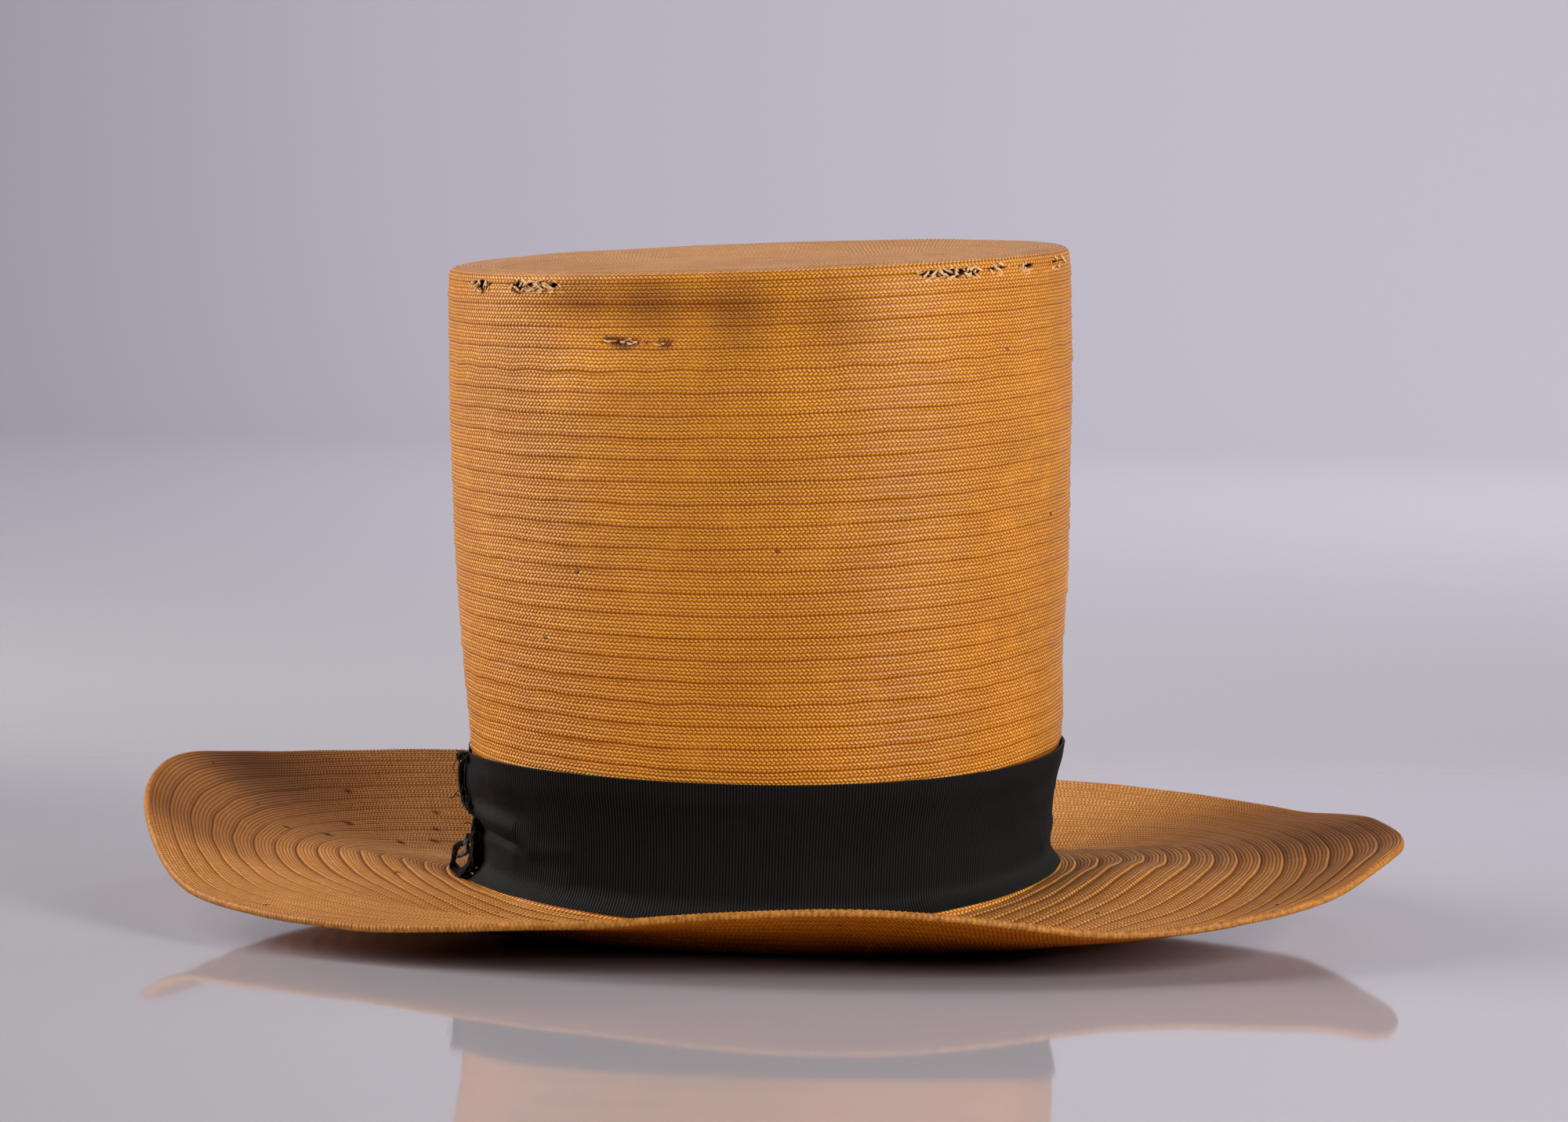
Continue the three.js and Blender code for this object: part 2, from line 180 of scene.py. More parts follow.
crown_outline = smooth_curve(CROWN_SECTIONS[:, 0], CROWN_SECTIONS[:, 1:])
brim_round = smooth_curve(
    np.concatenate([BRIM_SECTIONS[-2:, 0] - 360, BRIM_SECTIONS[:, 0], BRIM_SECTIONS[:2, 0] + 360]),
    np.concatenate([BRIM_SECTIONS[-2:, 1:], BRIM_SECTIONS[:, 1:], BRIM_SECTIONS[:2, 1:]]),
)


def dent_depth(angle, height):
    depth = 0
    for at, level, half_angle, half_height, deep in DENTS:
        across = ((angle - at + 180) % 360 - 180) / half_angle
        depth = depth + deep * np.exp(-across ** 2 - ((height - level) / half_height) ** 2)
    return depth


def crown_point(angle, height, stand):
    """Points at heights, stood off the crown's outer face."""
    angle, height, stand = np.broadcast_arrays(*(np.asarray(v, float) for v in (angle, height, stand)))
    t = np.radians(angle)
    foot = line_height(FOOT_LINE, angle)
    outline = crown_outline((height - foot) / (line_height(TIP_LINE, angle) - foot))
    lean_x, lean_y, a, b = np.moveaxis(outline, -1, 0)
    normal = np.stack([b * np.cos(t), a * np.sin(t)], -1)
    normal /= np.linalg.norm(normal, axis=-1, keepdims=True)
    flare = FOOT_FLARE[0] * np.clip(1 - (height - foot) / FOOT_FLARE[1], 0, None) ** 2
    out = stand + flare - dent_depth(angle, height)
    return np.stack([
        CROWN_CENTRE[0] + lean_x + a * np.cos(t) + normal[..., 0] * out,
        CROWN_CENTRE[1] + lean_y + b * np.sin(t) + normal[..., 1] * out,
        height,
    ], -1)


def brim_middle(angle, share):
    """The middle of the brim's straw: one row of points for each share of the way to the rim."""
    t = np.radians(angle)
    share = np.asarray(share, float)[:, None]
    cos, sin = np.cos(t), np.sin(t)
    full_cos, full_sin = (np.sign(v) * np.abs(v) ** (2 / RIM_FULLNESS) for v in (cos, sin))
    x = (CROWN_CENTRE[0] + CROWN_WALL[0] * cos) * (1 - share) + RIM[0] * full_cos * share
    y = (CROWN_CENTRE[1] + CROWN_WALL[1] * sin) * (1 - share) + RIM[1] * full_sin * share
    stations = np.vstack([line_height(FOOT_LINE, angle), brim_round(angle % 360).T])
    return np.stack([x, y, smooth_curve(BRIM_SHARES, stations)(share[:, 0])], -1)


def brim_point(angle, share, stand):
    """Points stood off the brim along its slope, and never under the floor."""
    angle, share, stand = (np.asarray(v, float) for v in (angle, share, stand))
    middle = brim_middle(angle, share)
    out = brim_middle(angle, share + 0.004) - brim_middle(angle, share - 0.004)
    along = brim_middle(angle + 0.4, share) - brim_middle(angle - 0.4, share)
    normal = np.cross(out, along)
    normal /= np.linalg.norm(normal, axis=-1, keepdims=True)
    points = middle + normal * stand.reshape(len(share), -1)[..., None]
    points[..., 2] = np.clip(points[..., 2], 0, None)
    return points


def tip_point(angle, inset, drop):
    """Points of the tip, its rings set in from the crown's edge, over a shallow dish."""
    t = np.radians(angle)
    inset = np.asarray(inset, float).reshape(-1, 1)
    drop = np.asarray(drop, float).reshape(len(inset), -1)
    _, lean_x, lean_y, half_length, half_width = CROWN_SECTIONS[-1]
    x = (half_length - inset) * np.cos(t)
    y = np.clip(half_width - inset, 0, None) * np.sin(t)
    begins, slope, depth = TIP_DISH
    step = np.clip((inset - begins) / slope, 0, 1)
    dish = depth * step * step * (3 - 2 * step)
    tilt = TIP_LINE[1] * x / half_length + TIP_LINE[2] * y / half_width
    z = TIP_LINE[0] + tilt - drop - dish
    return np.stack([CROWN_CENTRE[0] + lean_x + x, CROWN_CENTRE[1] + lean_y + y, z], -1)


def spots_left(points, spots):
    """The share left of something at points. Each spot that takes some away is a place, its reach and its share."""
    left = np.ones(points.shape[:-1])
    for at, reach, share in spots:
        away = np.clip(np.linalg.norm(points - np.array(at, float), axis=-1) / reach, 0, 1)
        left = left * (share + (1 - share) * away * away * (3 - 2 * away))
    return left


def uneven(angle, rows, size, waves, seed):
    """Gentle hand-made unevenness: rows of random waves that close round the hat, size mm high."""
    rng = np.random.default_rng(seed)
    t = np.radians(angle)
    total = np.zeros((rows, len(angle)))
    for wave in waves:
        phase = rng.uniform(0, 2 * math.pi, rows)[:, None]
        height = rng.normal(0, 1, rows)[:, None]
        total += height * np.sin(wave * t + phase)
    return size * total / math.sqrt(len(waves))


# Meshes

def piece(name, positions, faces, materials, face_material=None, uv=None):
    """A smooth mesh object in metres from positions in mm. uv is one pair for each corner."""
    mesh = bpy.data.meshes.new(name)
    mesh.from_pydata((np.asarray(positions) * MM).tolist(), [], [list(face) for face in faces])
    for finish in materials:
        mesh.materials.append(finish)
    if face_material is not None:
        mesh.polygons.foreach_set("material_index", np.asarray(face_material, np.int32))
    if uv is not None:
        mesh.uv_layers.new(name="plait").data.foreach_set("uv", np.asarray(uv, np.float32).ravel())
    mesh.shade_smooth()
    mesh.validate()
    obj = bpy.data.objects.new(name, mesh)
    bpy.context.scene.collection.objects.link(obj)
    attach(obj, "root")
    return obj


def grid_faces(rows, columns, closed_rows, closed_columns):
    """Quads between neighbouring rows and columns, in the order of the rows."""
    r = np.arange(rows if closed_rows else rows - 1)[:, None]
    c = np.arange(columns if closed_columns else columns - 1)[None, :]
    up, on = (r + 1) % rows, (c + 1) % columns
    return np.stack([r * columns + c, r * columns + on, up * columns + on, up * columns + c], -1).reshape(-1, 4)


def plaited(name, rings, course, across, materials, face_material, form="ring"):
    """A wall of sewn plait. Each ring of points has the number of its course and its share across it. The plait
    map gives every corner its length along the course in mm, and the course plus the share across."""
    rows, columns = rings.shape[:2]
    faces = grid_faces(rows, columns, form == "ring", True)
    spans = rows if form == "ring" else rows - 1
    upper = (np.arange(spans) + 1) % rows
    of_face = course[upper]
    along = {}
    for k in np.unique(course):
        row = rings[np.flatnonzero(course == k)[np.count_nonzero(course == k) // 2]]
        steps = np.linalg.norm(np.roll(row, -1, 0) - row, axis=1)
        length = np.concatenate([[0], np.cumsum(steps)])
        straws = max(8, round(length[-1] / STRAW_PITCH))
        along[k] = length / length[-1] * straws * STRAW_PITCH
    lengths = np.array([along[k] for k in of_face])
    low = np.where(course[:spans] == of_face, across[:spans], across[upper])
    high = across[upper]
    left, right = lengths[:, :-1], lengths[:, 1:]
    v_low = np.broadcast_to((of_face + low)[:, None], left.shape)
    v_high = np.broadcast_to((of_face + high)[:, None], left.shape)
    uv = np.stack([np.stack([left, v_low], -1), np.stack([right, v_low], -1),
                   np.stack([right, v_high], -1), np.stack([left, v_high], -1)], 2)
    return piece(name, rings.reshape(-1, 3), faces, materials, np.repeat(face_material[:spans], columns), uv)


def strands(name, paths, radius, material, sides=5):
    """Thin round threads or straws through lists of points, each tapered at both ends, as one joined mesh."""
    positions, faces = [], []
    for number, path in enumerate(paths):
        points = np.asarray(path, float)
        thick = radius[number] if np.ndim(radius) else radius
        ahead = np.gradient(points, axis=0)
        ahead /= np.linalg.norm(ahead, axis=1, keepdims=True)
        side = np.cross(ahead, (0.31, 0.17, 0.93))
        side /= np.linalg.norm(side, axis=1, keepdims=True)
        other = np.cross(ahead, side)
        turn = np.linspace(0, 2 * math.pi, sides, endpoint=False)
        width = thick * np.clip(np.minimum(np.arange(len(points)), np.arange(len(points))[::-1]) + 0.5, 0, 1)
        ring = (side[:, None] * np.cos(turn)[:, None] + other[:, None] * np.sin(turn)[:, None])
        ring = points[:, None] + ring * width[:, None, None]
        start = len(positions)
        positions.extend(ring.reshape(-1, 3))
        faces.extend((grid_faces(len(points), sides, False, True) + start).tolist())
        last = start + (len(points) - 1) * sides
        faces.append(list(range(start + sides - 1, start - 1, -1)))
        faces.append(list(range(last, last + sides)))
    return piece(name, positions, faces, [material])


# Materials

def linear(hex_colour):
    """An sRGB hex value as linear red, green, blue and full alpha."""
    parts = [int(hex_colour[i:i + 2], 16) / 255 for i in (1, 3, 5)]
    return [v / 12.92 if v <= 0.04045 else ((v + 0.055) / 1.055) ** 2.4 for v in parts] + [1.0]


def add(tree, kind, inputs=None, stops=None, **settings):
    """Adds a node with its settings. inputs gives each socket a value, another node or one of its outputs, and
    stops gives a ramp its places and colours."""
    made = tree.nodes.new(kind)
    for name, value in settings.items():
        setattr(made, name, value)
    for name, value in (inputs or {}).items():
        found = made.inputs[name] if isinstance(name, int) else next(
            s for s in made.inputs if s.name == name and s.enabled)
        if isinstance(value, bpy.types.Node):
            value = next(s for s in value.outputs if s.enabled)
        if isinstance(value, bpy.types.NodeSocket):
            tree.links.new(value, found)
        else:
            found.default_value = value
    if stops:
        ramp = made.color_ramp.elements
        while len(ramp) < len(stops):
            ramp.new(0.5)
        for element, (place, colour) in zip(ramp, stops):
            element.position = place
            element.color = linear(colour) if isinstance(colour, str) else (colour, colour, colour, 1)
    return made


def material(name):
    made = bpy.data.materials.new(name)
    made.use_nodes = True
    made.node_tree.nodes.clear()
    return made, made.node_tree


def calc(tree, operation, *values):
    """Numbers or nodes put together by one operation."""
    return add(tree, "ShaderNodeMath", dict(enumerate(values)), operation=operation)


def spread(tree, value, low, high, at_low, at_high, smooth=True):
    """A value from low to high turned into one from at_low to at_high."""
    return add(tree, "ShaderNodeMapRange", {0: value, 1: low, 2: high, 3: at_low, 4: at_high},
               interpolation_type="SMOOTHSTEP" if smooth else "LINEAR")


def mixed(tree, factor, one, other, blend="MIX"):
    """Two colours, each a hex value or a node."""
    one, other = (linear(v) if isinstance(v, str) else v for v in (one, other))
    return add(tree, "ShaderNodeMix", {"Factor": factor, "A": one, "B": other}, data_type="RGBA", blend_type=blend)


def noise(tree, where, scale, detail, roughness=0.5):
    return add(tree, "ShaderNodeTexNoise", {"Vector": where, "Scale": scale, "Detail": detail,
                                            "Roughness": roughness})


def object_place(tree):
    return add(tree, "ShaderNodeTexCoord").outputs["Object"]


def plait_map(tree):
    return add(tree, "ShaderNodeSeparateXYZ", {0: add(tree, "ShaderNodeUVMap", uv_map="plait")}).outputs


def finished(made, tree, **inputs):
    """The material with its surface, whose sockets are named with _ for each space."""
    surface = add(tree, "ShaderNodeBsdfPrincipled", {name.replace("_", " "): v for name, v in inputs.items()})
    add(tree, "ShaderNodeOutputMaterial", {"Surface": surface})
    return made


def spots_node(tree, where, spots):
    """The same spots as spots_left in a node, or 1 where there are none."""
    total = add(tree, "ShaderNodeValue")
    total.outputs[0].default_value = 1
    for at, reach, share in spots:
        away = add(tree, "ShaderNodeVectorMath", {0: where, 1: [v * MM for v in at]}, operation="DISTANCE")
        left = spread(tree, away.outputs["Value"], 0.0, reach * MM, share, 1.0)
        total = calc(tree, "MULTIPLY", total, left)
    return total


def sewn_straw_plait(name, straws, gap_shade, groove_shade, dust, roughness, relief=0.42, shine=0.4, coat=0.0,
                     painted_shade_and_light=(), rubbed_and_lit=()):
    """Split wheat straw, browned by age, plaited and sewn: satin slanting ovals with painted shade between them.
    The groove table gives places across the plait and how far its colour turns to that painted shade, and dust is
    the colour and strength of dust and painted cool shade in the furrows. Spots add painted shade and light, and
    worn, lit spots fade the painted groove shade."""
    made, tree = material(name)
    plait = plait_map(tree)
    # each row of straws slants one way and the next the other
    rows = calc(tree, "MULTIPLY", plait["Y"], ROWS)
    row = calc(tree, "FLOOR", rows)
    up = calc(tree, "SUBTRACT", calc(tree, "FRACT", rows), 0.5)
    odd = calc(tree, "MODULO", row, 2)
    slant = calc(tree, "MULTIPLY", up, calc(tree, "MULTIPLY_ADD", odd, 2, -1))
    straw = calc(tree, "MULTIPLY", plait["X"], 1 / STRAW_PITCH)
    straw = calc(tree, "MULTIPLY_ADD", slant, 0.45, straw)
    straw = calc(tree, "MULTIPLY_ADD", odd, 0.4, straw)
    number = calc(tree, "FLOOR", straw)
    side = calc(tree, "SUBTRACT", calc(tree, "FRACT", straw), 0.5)
    # each straw shows as a domed oval
    oval = calc(tree, "MULTIPLY_ADD", calc(tree, "MULTIPLY", side, side), -4.3, 1)
    bulge = calc(tree, "MULTIPLY_ADD", calc(tree, "MULTIPLY", up, up), -3.2, oval)
    bulge = calc(tree, "POWER", calc(tree, "MAXIMUM", bulge, 0), 0.7)
    place = add(tree, "ShaderNodeCombineXYZ", {"X": number, "Y": row})
    chance = add(tree, "ShaderNodeTexWhiteNoise", {"Vector": place}, noise_dimensions="2D")
    each = add(tree, "ShaderNodeValToRGB", {0: chance}, stops=list(zip((0, 0.3, 0.75, 1), straws)))
    # a painted highlight: the middle of each straw is painted paler
    each = mixed(tree, spread(tree, bulge, 0.5, 0.95, 0.0, 0.8), each, straws[-1])
    # patches of handling and sun, some 40 mm wide
    where = object_place(tree)
    patch = spread(tree, noise(tree, where, 25, 3, 0.55), 0.3, 0.7, 0.88, 1.08, smooth=False)
    # then darker and paler spots of painted shade and painted highlight
    patch = calc(tree, "MULTIPLY", patch, spots_node(tree, where, painted_shade_and_light))
    # darker straw is also redder, and so is the painted shade, as if lit by light bounced between straws
    green, blue = (calc(tree, "POWER", patch, power) for power in (1.25, 1.9))
    patch = add(tree, "ShaderNodeCombineColor", {"Red": patch, "Green": green, "Blue": blue})
    # here and there the straws are pressed flat, and the painted shade between them hardly shows
    pressed = spread(tree, noise(tree, where, 70, 2), 0.55, 0.75, 1.0, 0.8)
    depth = calc(tree, "MULTIPLY", spread(tree, bulge, 0.0, 0.6, 1.0, 0.0), pressed)
    # painted shade between the straws, deepest away from each oval's middle
    colour = mixed(tree, depth, each, gap_shade)
    # painted shade in the grooves between the ropes, and on the strip that goes under the next plait
    groove = add(tree, "ShaderNodeValToRGB", {0: calc(tree, "FRACT", plait["Y"])}, stops=groove_shade)
    groove = calc(tree, "MULTIPLY", groove, spots_node(tree, where, rubbed_and_lit))
    colour = mixed(tree, groove, colour, gap_shade)
    # dust and painted cool shade lie in patches along the painted groove shade
    lying = spread(tree, noise(tree, where, 60, 4, 0.65), 0.42, 0.7, 0.0, dust[1], smooth=False)
    colour = mixed(tree, calc(tree, "MULTIPLY", lying, groove), colour, dust[0])
    # now and then a hole between two straws, painted dark as its shade
    hole = add(tree, "ShaderNodeTexWhiteNoise", {"Vector": place, "W": 3.7}, noise_dimensions="4D")
    colour = mixed(tree, spread(tree, hole, 0.9997, 0.9998, 0.0, 0.85, smooth=False), colour, "#2a1204")
    colour = mixed(tree, 1.0, colour, patch, blend="MULTIPLY")
    # fine fibres run over the straws, and each straw lies a little askew, so that some glint
    height = calc(tree, "MULTIPLY_ADD", noise(tree, where, 900, 2), 0.12, bulge)
    askew = spread(tree, chance, 0.0, 1.0, -0.25, 0.25, smooth=False)
    height = calc(tree, "MULTIPLY_ADD", askew, side, height)
    bump = add(tree, "ShaderNodeBump", {"Height": height, "Distance": relief * MM, "Strength": pressed})
    rough = spread(tree, chance, 0.0, 1.0, roughness - 0.06, roughness + 0.1, smooth=False)
    rough = calc(tree, "MULTIPLY_ADD", depth, 0.6, rough)
    return finished(made, tree, Base_Color=colour, Roughness=rough, IOR=1.45, Specular_IOR_Level=shine,
                    Specular_Tint=linear("#ffdcb0"), Coat_Weight=coat, Coat_Roughness=0.42, Coat_IOR=1.5,
                    Normal=bump)


def grosgrain(name, shaded_valley, lit_crest, worn):
    """Black cotton and silk ribbon, woven in ribs across its length: matt, with a grey sheen seen aslant, and with
    a painted highlight on the top of each rib and painted shade between the ribs.
    """
    made, tree = material(name)
    # the plait map counts the ribs along the ribbon
    ribs = calc(tree, "COSINE", calc(tree, "MULTIPLY", plait_map(tree)["X"], 2 * math.pi))
    # painted shade in the valleys between the ribs, and a painted highlight on their tops
    rib_shading = mixed(tree, spread(tree, ribs, -0.4, 1.0, 0.0, 1.0, smooth=False), shaded_valley, lit_crest)
    where = object_place(tree)
    dust = spread(tree, noise(tree, where, 45, 5, 0.6), 0.45, 0.8, 0.0, 0.5, smooth=False)
    weave = noise(tree, where, 2200, 2)
    return finished(made, tree, Base_Color=mixed(tree, dust, rib_shading, worn), Roughness=0.6, Specular_IOR_Level=0.1,
                    Sheen_Weight=0.1, Sheen_Roughness=0.4, Sheen_Tint=linear("#b0a8a4"),
                    Normal=add(tree, "ShaderNodeBump", {"Height": weave, "Distance": 0.08 * MM, "Strength": 0.6}))


def plain_fibre(name, dark, light, roughness, scale):
    """Loose fibres, single straws and cloth: one colour that varies by the strand, and a fine rough face."""
    made, tree = material(name)
    vary = noise(tree, object_place(tree), scale, 4)
    colour = add(tree, "ShaderNodeValToRGB", {0: vary}, stops=[(0.3, dark), (0.7, light)])
    bump = add(tree, "ShaderNodeBump", {"Height": vary, "Distance": 0.1 * MM, "Strength": 0.7})
    return finished(made, tree, Base_Color=colour, Roughness=roughness, Specular_IOR_Level=0.3, Normal=bump)


# painted shade in the grooves: place across the plait, and how far its colour turns to the painted shade between
# the straws
EVEN_GROOVE_SHADE = [(0, 0.5), (0.03, 0.06), (0.31, 0.0), (0.334, 0.12), (0.36, 0.0), (0.64, 0.0), (0.668, 0.12),
                (0.69, 0.0), (0.96, 0.06), (1, 0.5)]
BRIM_GROOVE_SHADE = [(0, 0.85), (0.025, 0.0), (0.3, 0.0), (0.334, 0.3), (0.37, 0.0), (0.6, 0.04), (0.84, 0.12),
                (0.95, 0.8), (1, 1.0)]
# spots of painted shade and painted highlight on the crown: angle, height, reach and the light left. First painted
# shade in the gaps of the slit near its top
SLIT_GAP_SHADE = (
    (235.2, 189.8, 2.2, 0.08), (236.6, 189.3, 3.0, 0.03), (238.0, 188.8, 3.2, 0.02), (239.4, 188.5, 2.8, 0.03),
    (240.8, 188.9, 2.2, 0.08), (243.2, 189.2, 1.4, 0.4), (246.2, 189.1, 2.6, 0.04), (247.3, 188.9, 2.2, 0.05),
)
# then painted shade in the hollows of its dent, and a painted highlight where the dent's lower slope catches the
# light
DENT_PAINTED_SHADE = ((244, 202, 17, 0.62), (260, 200, 19, 0.62), (277, 199, 18, 0.75), (230, 204, 13, 0.75))
DENT_PAINTED_HIGHLIGHT = ((232, 182, 20, 1.3), (222, 178, 20, 1.15), (246, 180, 18, 1.1))
CROWN_PAINTED_SHADE_AND_LIGHT = [(crown_point(angle, height, 0.3), reach, left)
                for angle, height, reach, left in SLIT_GAP_SHADE + DENT_PAINTED_SHADE + DENT_PAINTED_HIGHLIGHT]
# small holes in the brim's left, painted dark as their shade: angle, share of the way to the rim, reach and the
# light left
BRIM_HOLE_SHADE = (
    (144.4, 0.597, 3.6, 0.03), (156.4, 0.531, 3.8, 0.03), (134.4, 0.779, 2.6, 0.2), (160.4, 0.628, 2.4, 0.15),
    (155.2, 0.411, 2.3, 0.2), (140.8, 0.455, 3.0, 0.08), (132.0, 0.477, 3.2, 0.08), (128.4, 0.548, 2.7, 0.12),
    (124.8, 0.646, 2.3, 0.2), (191.6, 0.274, 2.1, 0.15),
)
# larger spots on the brim: place, reach and the light left. Painted shade darkens its curled ends
BRIM_PAINTED_SHADE_AND_LIGHT = [((-165, 120, 40), 75, 0.42), ((-205, 20, 35), 75, 0.5), ((198, 0, 32), 65, 0.55),
               ((180, 75, 38), 65, 0.6)]
# and painted light makes it paler where it slopes up
BRIM_PAINTED_SHADE_AND_LIGHT += [((-100, 75, 22), 75, 1.22), ((90, 125, 25), 85, 1.2)]
BRIM_PAINTED_SHADE_AND_LIGHT += [(brim_point([angle], [share], [1.2])[0, 0], reach, left)
                for angle, share, reach, left in BRIM_HOLE_SHADE]
# worn smooth along its front and its ends, which are also lit so that the painted groove shade fades there: place,
# reach and the relief left
BRIM_RUBBED_AND_LIT = (
    ((-165, -90, 12), 95, 0.0), ((-110, -110, 8), 95, 0.0), ((-50, -130, 10), 90, 0.0),
    ((20, -160, 15), 100, 0.05), ((105, -140, 15), 95, 0.0), ((-205, 0, 30), 60, 0.1),
    ((-180, 70, 38), 60, 0.3), ((205, -20, 30), 40, 0.4), ((-60, 170, 35), 90, 0.4), ((90, 165, 30), 90, 0.35),
)
crown_straw = sewn_straw_plait("crown_straw_plait", ("#ca7a0c", "#d48410", "#dc8e16", "#e89f2c"), "#944a02",
                               EVEN_GROOVE_SHADE, ("#7a4a1c", 0.1), 0.34, shine=0.8, coat=0.3, painted_shade_and_light=CROWN_PAINTED_SHADE_AND_LIGHT)
brim_straw = sewn_straw_plait("brim_straw_plait", ("#b47434", "#be7e3c", "#c88846", "#d49a5c"), "#74400f",
                              BRIM_GROOVE_SHADE, ("#5e4030", 0.4), 0.55, relief=0.2, shine=0.2, painted_shade_and_light=BRIM_PAINTED_SHADE_AND_LIGHT,
                              rubbed_and_lit=BRIM_RUBBED_AND_LIT)
# the tip's straw is painted paler and pinker than the crown's: a painted sheen of light from above
tip_straw_with_painted_sheen = sewn_straw_plait("tip_straw_plait", ("#be844c", "#c68d56", "#ce9660", "#daa87e"), "#a86e3a",
                             EVEN_GROOVE_SHADE, ("#9a8478", 0.2), 0.4, relief=0.28)
inside_straw = sewn_straw_plait("inside_straw_plait", ("#dc6a00", "#ea7600", "#f48404", "#fc9414"), "#863c00",
                                EVEN_GROOVE_SHADE, ("#5c3a22", 0.1), 0.7, shine=0.1)
rim_straw = plain_fibre("rim_straw_binding", "#8a5212", "#c07e2c", 0.45, 600)
broken_straw = plain_fibre("broken_straw_ends", "#c48440", "#f4cf9c", 0.5, 700)
# the ribbon's colours: painted shade in the rib valleys, painted highlight on the rib tops, and its worn colour
band_ribbon = grosgrain("black_grosgrain", "#040404", "#1f1e20", "#1a1816")
band_thread = plain_fibre("black_ribbon_threads", "#060505", "#151315", 0.85, 900)
lining_cloth = plain_fibre("grey_lining_cloth", "#0e0d0f", "#4c484a", 0.9, 350)
red_thread = plain_fibre("reddish_sewing_thread", "#4a1f1a", "#7c3d33", 0.8, 900)
grey_fibres = plain_fibre("grey_cotton_fibres", "#2c2a2e", "#6c6a70", 0.85, 900)
pale_fibre = plain_fibre("white_cotton_speck", "#cfcac4", "#f4f1ec", 0.8, 900)


# Crown

# tears along the tip's seam: from and to in degrees, and depth in mm
SEAM_TEARS = ((197.5, 206.5, 2.3), (212, 224.5, 3.2), (293.5, 308.5, 2.4), (310.5, 315, 1.8), (319, 324, 1.6),
              (331, 340, 0.9))
# the slit in one course: its two parts by angle, half width in degrees and depth in mm
SPLIT_COURSE = 26
SPLITS = ((238.2, 3.2, 2.2), (246.6, 1.3, 1.8))
SLIT_HEIGHT = 188.9

crown_angle = 90 + np.arange(CROWN_COLUMNS) * 360 / CROWN_COLUMNS


def seam_tear(angle):
    """How deep the wall's top edge is torn, with ragged ends of straw."""
    depth = np.zeros_like(angle)
    ragged = np.random.default_rng(5).uniform(-0.55, 0.45, len(angle))
    for start, end, deep in SEAM_TEARS:
        share = np.clip((angle % 360 - start) / (end - start), 0, 1)
        depth = np.maximum(depth, deep * np.sin(math.pi * share) ** 0.5 * (1 + ragged))
    return depth


def crown_side():
    angle = crown_angle
    seat = np.maximum(line_height(FOOT_LINE, angle), brim_middle(angle, [FOOT_SHARE])[0, :, 2])
    foot = seat + STRAW / 2 + GAP
    top = line_height(TIP_LINE, angle) - SEAM_DROP
    lines = [foot + (top - foot) * k / CROWN_COURSES for k in range(CROWN_COURSES + 1)]
    lines[0] = lines[0] - SEWN_DOWN
    torn_top = top - seam_tear(angle)
    drift = uneven(angle, CROWN_COURSES + 1, 0.2, (3, 5, 8, 13, 21, 34), 11)
    drift[0] = drift[-1] = 0
    swell = uneven(angle, CROWN_COURSES, 0.08, (4, 7, 11, 17, 29), 12)
    loose = 0.04 + np.abs(uneven(angle, CROWN_COURSES, 0.16, (2, 3, 5, 8, 13), 13))
    rings, course, across, face = [], [], [], []
    for k in range(CROWN_COURSES):
        low, high = lines[k] + drift[k], lines[k + 1] + drift[k + 1]
        hidden = k < FIRST_COURSE_ABOVE_RIBBON
        for share, stand in PLAIT_PROFILE[::3] if hidden else PLAIT_PROFILE:
            # the ribbon presses the plait flat, and above it each free edge stands off a little
            stand = stand * 0.3 if hidden else stand + swell[k] + loose[k] * (1 - share) ** 3
            if k == SPLIT_COURSE and 0.2 < share < 0.4:
                for at, half, deep in SPLITS:
                    stand = stand - deep * np.exp(-((angle % 360 - at) / half) ** 4)
            rings.append(crown_point(angle, np.minimum(low + (high - low) * share, torn_top), stand))
            course.append(k)
            across.append(share)
            face.append(0)
    for k in range(CROWN_COURSES - 1, -1, -1):
        inside = (0.98, 0.02) if k in (0, CROWN_COURSES - 1) else (0.5,)
        for share in inside:
            low, high = lines[k], lines[k + 1]
            rings.append(crown_point(angle, np.minimum(low + (high - low) * share, torn_top), -STRAW))
            course.append(k)
            across.append(share)
            face.append(1)
    made = plaited("crown_side_plait", np.array(rings), np.array(course), np.array(across),
                   [crown_straw, inside_straw], np.array(face))
    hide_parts("crown_side")


